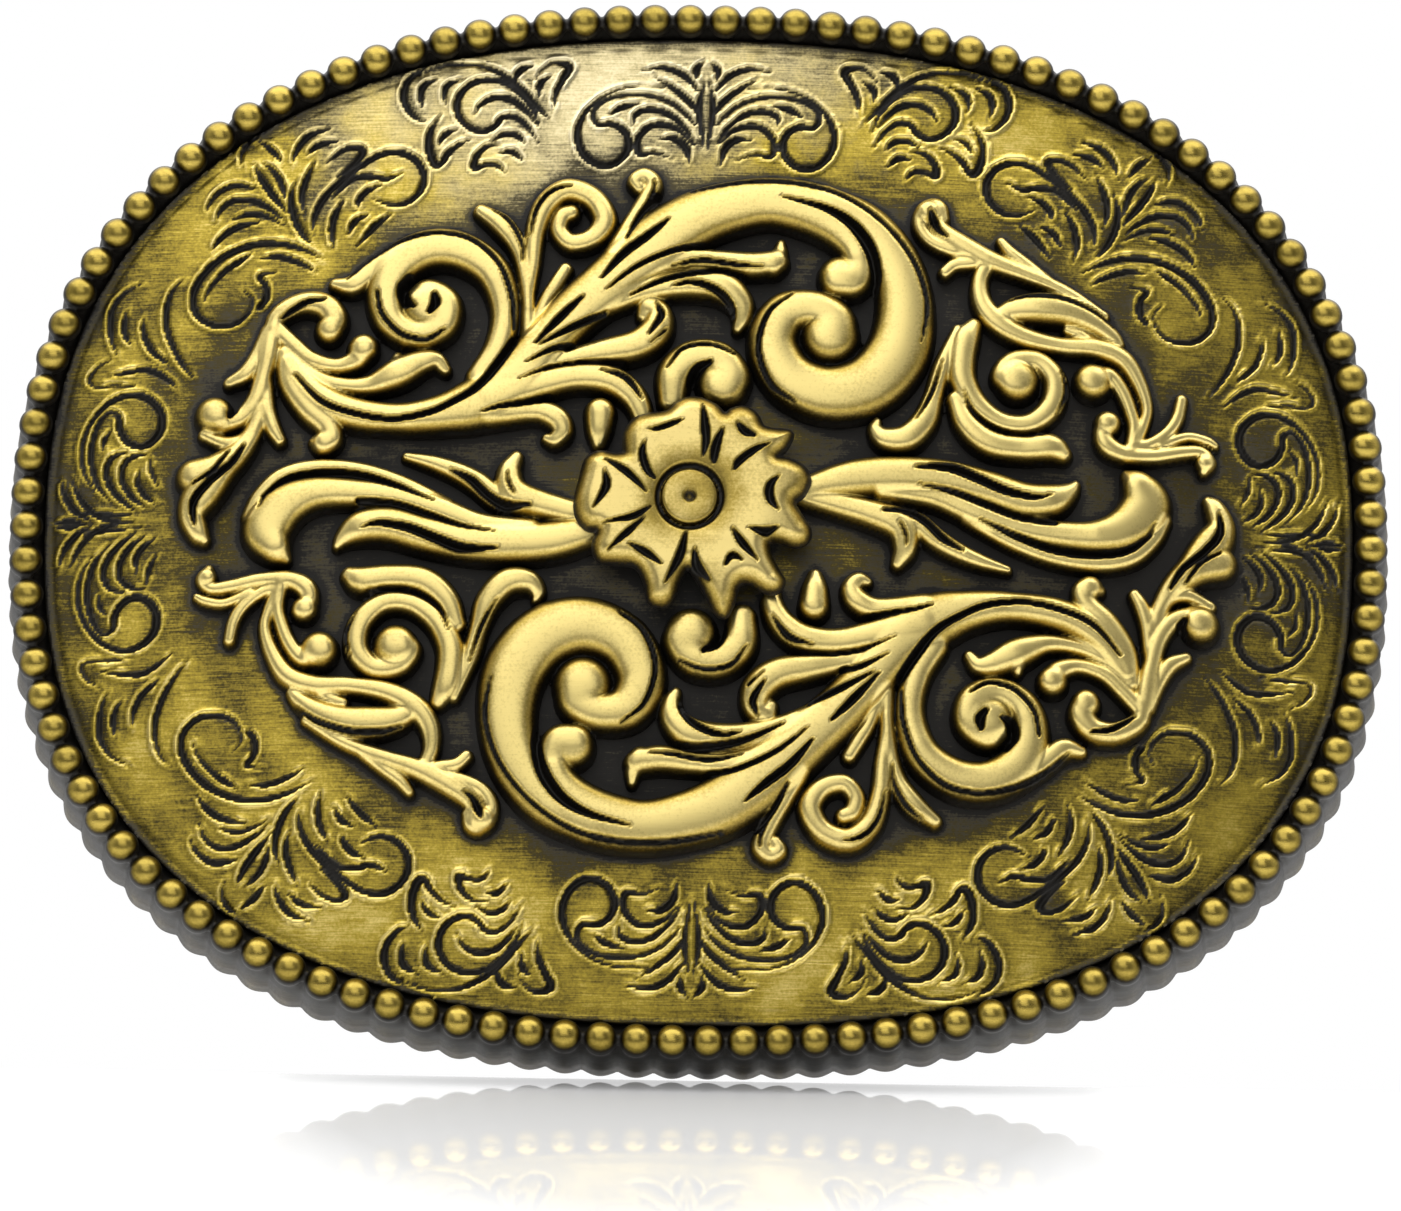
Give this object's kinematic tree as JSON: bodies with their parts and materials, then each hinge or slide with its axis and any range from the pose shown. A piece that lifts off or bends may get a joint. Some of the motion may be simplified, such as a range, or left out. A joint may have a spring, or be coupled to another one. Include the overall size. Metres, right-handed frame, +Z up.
{
  "type": "belt buckle",
  "caption": "Oval domed western belt buckle with beaded rim, raised scrollwork and a riveted flower, with a hinged bail loop and a fixed belt hook behind.",
  "frame": {"origin": "centre of the whole buckle's bounding box", "axes": "+Z up, -Y out of the decorated front, +X to the right as seen from the front"},
  "size_m": [0.0988, 0.0156, 0.0778],
  "materials": {
    "engraved_brass": "antique brass, brushed field, black patina in the engraving",
    "rim_brass": "antique brass, burnished beads, dark patina between them",
    "relief_brass": "antique brass, bright brushed tops, black patina on the sides",
    "flower_brass": "antique brass, satin petals, black patina in the cuts",
    "back_brass": "antique brass, dull cast finish",
    "loop_steel": "plated steel wire, worn"
  },
  "bodies": {
    "buckle": {"face_plate": "engraved_brass", "beaded_rim": "rim_brass", "upper_main_scroll": "relief_brass", "lower_main_scroll": "relief_brass", "upper_right_wing": "relief_brass", "lower_left_wing": "relief_brass", "upper_right_coil": "relief_brass", "lower_left_coil": "relief_brass", "right_band": "relief_brass", "left_band": "relief_brass", "upper_crown_curl": "relief_brass", "lower_crown_curl": "relief_brass", "upper_drop": "relief_brass", "lower_drop": "relief_brass", "flower": "flower_brass", "flower_rivet": "flower_brass", "upper_hinge_lug": "back_brass", "lower_hinge_lug": "back_brass", "belt_hook": "back_brass"},
    "bail": {"bail_loop": "loop_steel"}
  },
  "joints": [
    {"name": "bail_swing", "type": "hinge", "parent": "buckle", "child": "bail", "pos_m": [0.02, 0.00163, 0], "axis": [0, 0, 1], "range_deg": [0, 165]}
  ]
}
